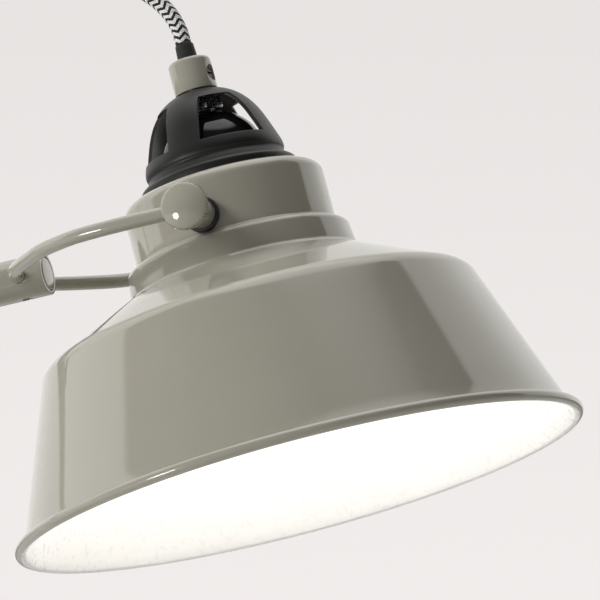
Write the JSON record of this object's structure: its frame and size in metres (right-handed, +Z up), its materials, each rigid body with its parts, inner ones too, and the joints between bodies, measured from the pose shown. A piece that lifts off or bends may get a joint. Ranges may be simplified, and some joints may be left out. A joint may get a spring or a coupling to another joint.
{
  "type": "desk lamp",
  "caption": "Architect desk lamp: enamelled bell shade on a round-rod bail, two tubular friction-hinged arms, weighted round base and braided cord.",
  "frame": {"origin": "centre of the round foot, on the surface the lamp stands on", "axes": "+Z up, +X from the base towards the shade, Y along the hinge axes"},
  "size_m": [0.6965, 0.2304, 0.6009],
  "materials": {
    "sage_enamel": "gloss",
    "black_satin": "satin",
    "black_gloss": "gloss",
    "black_rubber": "matt",
    "zinc_plate": "bright zinc",
    "brass": "satin",
    "cast_iron": "as cast",
    "opal_glass": "opal",
    "braided_cord": "black and white zigzag braid",
    "black_steel": "blackened"
  },
  "bodies": {
    "base": {"foot_pad": "black_rubber", "base_weight": "cast_iron", "base_cover": "sage_enamel", "swivel_post": "sage_enamel", "post_nut": "zinc_plate", "base_gland": "black_rubber", "mains_cord": "braided_cord", "mains_cord_tail": "braided_cord", "cord_coil": "braided_cord", "coil_tie": "black_rubber", "switch_base": "black_satin", "switch_cover": "black_satin", "plug_body": "black_satin", "plug_pin_a": "brass", "plug_pin_b": "brass"},
    "rocker": {"switch_rocker": "black_gloss"},
    "swivel": {"swivel_head": "sage_enamel", "hub_grommet": "black_rubber", "base_hinge_bolt": "zinc_plate", "base_hinge_washer_near": "black_rubber", "base_hinge_washer_far": "black_rubber", "base_cord": "braided_cord"},
    "base_knob": {"base_hinge_knob": "sage_enamel"},
    "lower_arm": {"lower_arm_tongue": "sage_enamel", "lower_arm_tube": "sage_enamel", "elbow_fork": "sage_enamel", "lower_arm_grommet_foot": "black_rubber", "lower_arm_grommet_top": "black_rubber", "elbow_bolt": "zinc_plate", "elbow_washer_near": "black_rubber", "elbow_washer_far": "black_rubber", "elbow_cord": "braided_cord"},
    "elbow_clamp": {"elbow_knob": "sage_enamel"},
    "upper_arm": {"upper_arm_tongue": "sage_enamel", "upper_arm_tube": "sage_enamel", "upper_arm_grommet_elbow": "black_rubber", "upper_arm_grommet_head": "black_rubber", "arm_end_plug": "sage_enamel", "bail_set_screw": "black_steel", "bail_rod": "sage_enamel", "bail_bush_near": "sage_enamel", "bail_bush_far": "sage_enamel"},
    "near_knob": {"tilt_knob_near": "sage_enamel"},
    "far_knob": {"tilt_knob_far": "sage_enamel"},
    "shade": {"shade": "sage_enamel", "tilt_washer_near": "black_rubber", "tilt_washer_far": "black_rubber", "tilt_screw_near": "zinc_plate", "tilt_screw_far": "zinc_plate", "socket_cap": "black_satin", "lampholder": "black_gloss", "lampholder_shell": "brass", "shade_ring": "black_satin", "cord_nipple": "zinc_plate", "clamp_nut": "zinc_plate", "cord_grip": "sage_enamel", "grip_screw": "zinc_plate", "strain_sleeve": "black_rubber", "bulb": "opal_glass", "head_cord": "braided_cord"}
  },
  "joints": [
    {"name": "swivel_turn", "type": "hinge", "parent": "base", "child": "swivel", "pos_m": [0, 0, 0.04], "axis": [0, 0, 1], "range_deg": [-170, 170]},
    {"name": "lower_arm_tilt", "type": "hinge", "parent": "swivel", "child": "lower_arm", "pos_m": [0, 0, 0.074], "axis": [0, 1, 0], "range_deg": [-20, 30], "deforming": ["base_cord"]},
    {"name": "elbow_tilt", "type": "hinge", "parent": "lower_arm", "child": "upper_arm", "pos_m": [-0.12313, 0, 0.41229], "axis": [0, 1, 0], "range_deg": [-40, 20], "deforming": ["elbow_cord"]},
    {"name": "shade_tilt", "type": "hinge", "parent": "upper_arm", "child": "shade", "pos_m": [0.32932, 0, 0.49533], "axis": [0, 1, 0], "range_deg": [-45, 18], "deforming": ["head_cord"]},
    {"name": "base_knob_turn", "type": "hinge", "parent": "swivel", "child": "base_knob", "pos_m": [0, -0.0137, 0.074], "axis": [0, -1, 0], "range_deg": [0, 180]},
    {"name": "elbow_knob_turn", "type": "hinge", "parent": "lower_arm", "child": "elbow_clamp", "pos_m": [-0.12313, -0.0137, 0.41229], "axis": [0, -1, 0], "range_deg": [0, 180]},
    {"name": "near_knob_turn", "type": "hinge", "parent": "shade", "child": "near_knob", "pos_m": [0.32932, -0.061, 0.49533], "axis": [0, -1, 0], "range_deg": [0, 180]},
    {"name": "far_knob_turn", "type": "hinge", "parent": "shade", "child": "far_knob", "pos_m": [0.32932, 0.061, 0.49533], "axis": [0, 1, 0], "range_deg": [0, 180]},
    {"name": "rocker_tip", "type": "hinge", "parent": "base", "child": "rocker", "pos_m": [-0.172, -0.061, 0.0148], "axis": [1, 0, 0], "range_deg": [-7, 7]}
  ]
}
